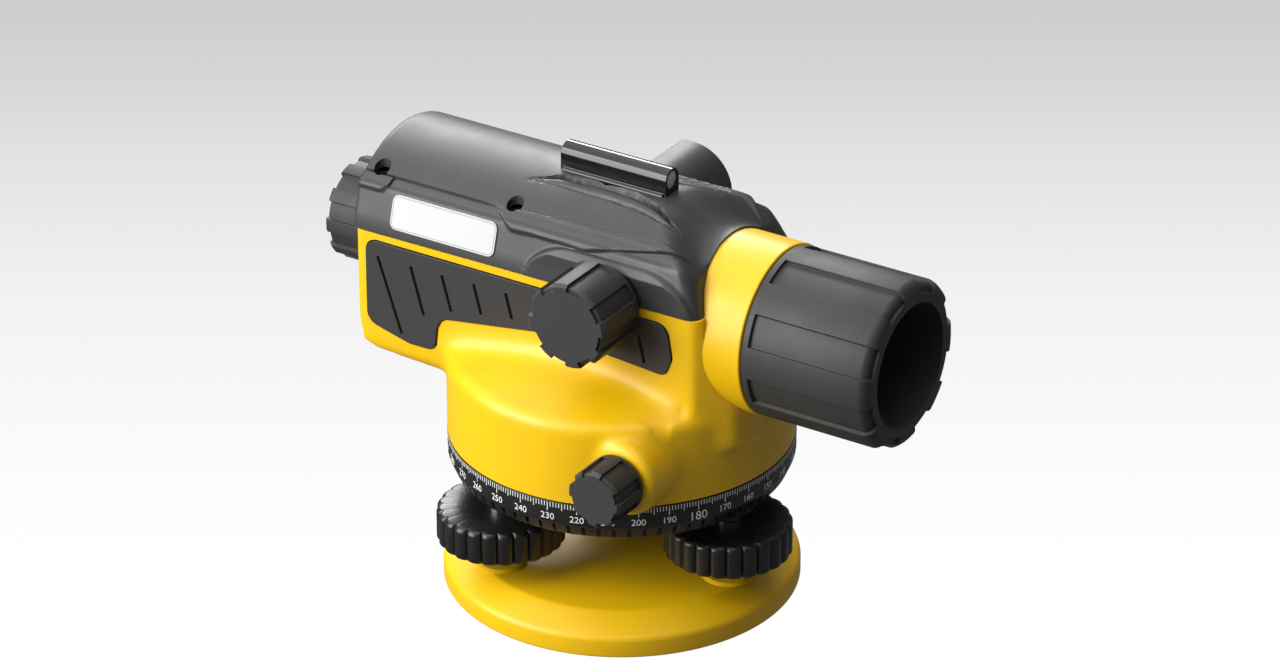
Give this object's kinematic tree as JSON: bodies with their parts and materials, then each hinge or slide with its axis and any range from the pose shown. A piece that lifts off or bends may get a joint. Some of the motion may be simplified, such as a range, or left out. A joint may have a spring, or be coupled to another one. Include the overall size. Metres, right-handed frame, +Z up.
{
  "type": "automatic level",
  "caption": "Optical surveying level: telescope with compensator on a turret with tangent screw, graduated circle, three levelling foot screws and a tripod base plate.",
  "frame": {"origin": "middle of the base plate's underside, on the tripod screw's axis", "axes": "+X along the line of sight towards the objective, +Y to the far side with the circular vial, +Z up"},
  "size_m": [0.2163, 0.136, 0.154],
  "materials": {
    "yellow_paint": "satin textured paint",
    "brass": "turned",
    "spring_steel": "rolled",
    "zinc_steel": "zinc plated",
    "nylon": "natural nylon",
    "turned_steel": "turned",
    "black_gloss": "semi-gloss moulded",
    "black_casting": "black anodised or painted",
    "scale_black": "semi-gloss with white graduation",
    "cover_black": "fine textured moulding",
    "rubber_dark": "matt soft rubber",
    "optic_alloy": "dark anodised",
    "optic_glass": "coated glass",
    "magnet": "ground",
    "mirror": "front-surface mirror",
    "sight_black": "high gloss",
    "badge_white": "blank printed label"
  },
  "bodies": {
    "base": {"base_plate": "yellow_paint", "tripod_thread_insert": "brass", "spring_plate": "spring_steel", "spring_plate_screws": "zinc_steel"},
    "level_frame_1": {"ball_collar_b": "nylon"},
    "level_frame_2": {"ball_collar_c": "nylon"},
    "tribrach": {"tribrach_plate": "black_casting", "foot_bushes": "brass", "centre_axle": "turned_steel", "axle_clip": "spring_steel", "circle_washer": "spring_steel"},
    "foot_lift_a": {"ball_shoe_a": "nylon", "ball_collar_a": "nylon"},
    "foot_lift_b": {"ball_shoe_b": "nylon"},
    "foot_lift_c": {"ball_shoe_c": "nylon"},
    "foot_screw_a": {"foot_spindle_a": "turned_steel", "foot_knob_a": "black_gloss"},
    "foot_screw_b": {"foot_spindle_b": "turned_steel", "foot_knob_b": "black_gloss"},
    "foot_screw_c": {"foot_spindle_c": "turned_steel", "foot_knob_c": "black_gloss"},
    "circle": {"horizontal_circle": "scale_black"},
    "worm_wheel": {"worm_wheel": "brass"},
    "alidade": {"body_housing": "yellow_paint", "axle_bush": "brass", "top_cover": "cover_black", "cover_screws": "zinc_steel", "objective_collar": "yellow_paint", "objective_sleeve": "rubber_dark", "objective_cell": "optic_alloy", "objective_lens": "optic_glass", "guide_rods": "turned_steel", "focus_bush": "brass", "compensator_frame": "optic_alloy", "damper_magnet": "magnet", "reticle_cell": "brass", "reticle_glass": "optic_glass", "reticle_screws": "zinc_steel", "eyepiece_tube": "optic_alloy", "tangent_bushes": "brass", "vial_holder": "black_casting", "circular_vial": "optic_glass", "vial_screws": "zinc_steel", "vial_hood": "cover_black", "vial_mirror": "mirror", "optical_sight": "sight_black", "grip_pads": "rubber_dark", "badge_plate": "badge_white"},
    "lens_carriage": {"focusing_carriage": "optic_alloy", "focusing_lens": "optic_glass"},
    "focus_drive": {"focus_shaft": "turned_steel", "focus_knob": "rubber_dark"},
    "pendulum": {"pendulum": "brass", "pendulum_prism": "optic_glass"},
    "eyepiece_ring": {"eyepiece_ring": "rubber_dark"},
    "ocular": {"ocular_cell": "black_casting", "ocular_lenses": "optic_glass"},
    "tangent_drive": {"tangent_shaft": "turned_steel", "tangent_knob_left": "rubber_dark", "tangent_knob_right": "rubber_dark"}
  },
  "joints": [
    {"name": "level_a", "type": "hinge", "parent": "base", "child": "level_frame_1", "pos_m": [0.04349, -0.00304, 0.0086], "axis": [-0.829, 0.5592, 0], "range_deg": [-2.63, 2.63]},
    {"name": "level_b", "type": "hinge", "parent": "level_frame_1", "child": "level_frame_2", "pos_m": [-0.01911, 0.03919, 0.0086], "axis": [-0.0698, -0.9976, 0], "range_deg": [-2.63, 2.63]},
    {"name": "level_c", "type": "hinge", "parent": "level_frame_2", "child": "tribrach", "pos_m": [-0.02438, -0.03615, 0.0086], "axis": [0.8988, 0.4384, 0], "range_deg": [-2.63, 2.63]},
    {"name": "lift_a", "type": "slide", "parent": "tribrach", "child": "foot_lift_a", "axis": [0, 0, -1], "range_m": [-0.00305, 0.00305]},
    {"name": "foot_screw_turn_a", "type": "hinge", "parent": "foot_lift_a", "child": "foot_screw_a", "pos_m": [-0.02438, -0.03615, 0.0086], "axis": [0, 0, -1], "range_deg": [-1080, 1080]},
    {"name": "lift_b", "type": "slide", "parent": "tribrach", "child": "foot_lift_b", "axis": [0, 0, -1], "range_m": [-0.00305, 0.00305]},
    {"name": "foot_screw_turn_b", "type": "hinge", "parent": "foot_lift_b", "child": "foot_screw_b", "pos_m": [0.04349, -0.00304, 0.0086], "axis": [0, 0, -1], "range_deg": [-1080, 1080]},
    {"name": "lift_c", "type": "slide", "parent": "tribrach", "child": "foot_lift_c", "axis": [0, 0, -1], "range_m": [-0.00305, 0.00305]},
    {"name": "foot_screw_turn_c", "type": "hinge", "parent": "foot_lift_c", "child": "foot_screw_c", "pos_m": [-0.01911, 0.03919, 0.0086], "axis": [0, 0, -1], "range_deg": [-1080, 1080]},
    {"name": "circle_turn", "type": "hinge", "parent": "tribrach", "child": "circle", "pos_m": [0, 0, 0.0485], "axis": [0, 0, 1], "continuous": true},
    {"name": "coarse_turn", "type": "hinge", "parent": "tribrach", "child": "worm_wheel", "pos_m": [0, 0, 0.0674], "axis": [0, 0, 1], "continuous": true},
    {"name": "fine_turn", "type": "hinge", "parent": "worm_wheel", "child": "alidade", "pos_m": [0, 0, 0.0674], "axis": [0, 0, 1], "continuous": true},
    {"name": "tangent_turn", "type": "hinge", "parent": "alidade", "child": "tangent_drive", "pos_m": [0.0327, 0, 0.0674], "axis": [0, 1, 0], "continuous": true},
    {"name": "focus_turn", "type": "hinge", "parent": "alidade", "child": "focus_drive", "pos_m": [0.013, -0.03, 0.118], "axis": [0, -1, 0], "range_deg": [-143, 143]},
    {"name": "lens_slide", "type": "slide", "parent": "alidade", "child": "lens_carriage", "axis": [1, 0, 0], "range_m": [-0.01, 0.01]},
    {"name": "pendulum_swing", "type": "hinge", "parent": "alidade", "child": "pendulum", "pos_m": [-0.0285, 0, 0.1225], "axis": [0, 1, 0], "range_deg": [-0.4, 0.4]},
    {"name": "eyepiece_turn", "type": "hinge", "parent": "alidade", "child": "eyepiece_ring", "pos_m": [-0.097, 0, 0.1075], "axis": [-1, 0, 0], "range_deg": [-180, 180]},
    {"name": "ocular_slide", "type": "slide", "parent": "alidade", "child": "ocular", "axis": [-1, 0, 0], "range_m": [-0.00157, 0.00157]}
  ],
  "couplings": [
    {"joint": "foot_screw_turn_a", "follows": "level_a", "ratio": 410.92},
    {"joint": "lift_a", "follows": "level_a", "m_per_rad": 0.0654},
    {"joint": "foot_screw_turn_b", "follows": "level_b", "ratio": 410.92},
    {"joint": "lift_b", "follows": "level_b", "m_per_rad": 0.0654},
    {"joint": "foot_screw_turn_c", "follows": "level_c", "ratio": 410.92},
    {"joint": "lift_c", "follows": "level_c", "m_per_rad": 0.0654},
    {"joint": "tangent_turn", "follows": "fine_turn", "ratio": 90},
    {"joint": "lens_slide", "follows": "focus_turn", "m_per_rad": 0.004},
    {"joint": "eyepiece_turn", "follows": "ocular_slide", "rad_per_m": 2000}
  ]
}
